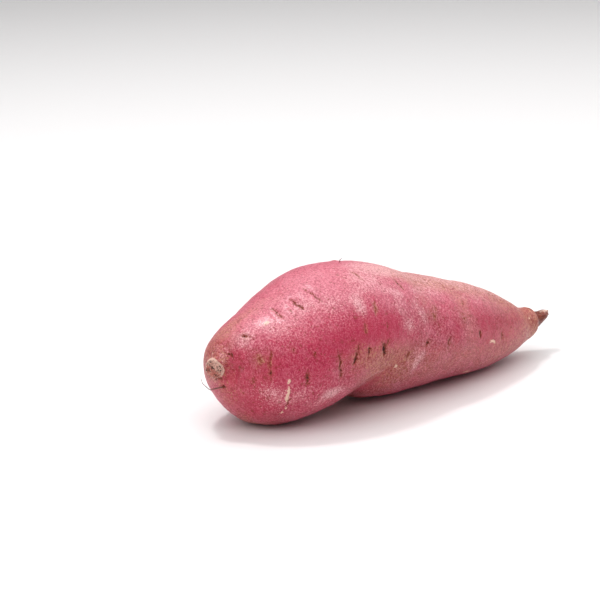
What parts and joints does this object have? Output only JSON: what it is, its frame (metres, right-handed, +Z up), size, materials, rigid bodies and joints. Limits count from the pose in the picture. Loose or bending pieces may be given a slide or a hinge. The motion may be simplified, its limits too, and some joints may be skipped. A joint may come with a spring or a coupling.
{
  "type": "sweet potato",
  "caption": "Whole raw sweet potato lying on its side: plump at the cut head, drawn in at a waist and tapering to a dried root tip.",
  "frame": {"origin": "middle of the footprint, on the surface that the root rests on", "axes": "+X from the cut head to the root tip, +Z up, -Y towards the side that shows the rows of eyes"},
  "size_m": [0.1898, 0.0652, 0.0607],
  "materials": {
    "skin": "satin"
  },
  "bodies": {
    "root": {"sweet_potato": "skin"}
  },
  "joints": []
}
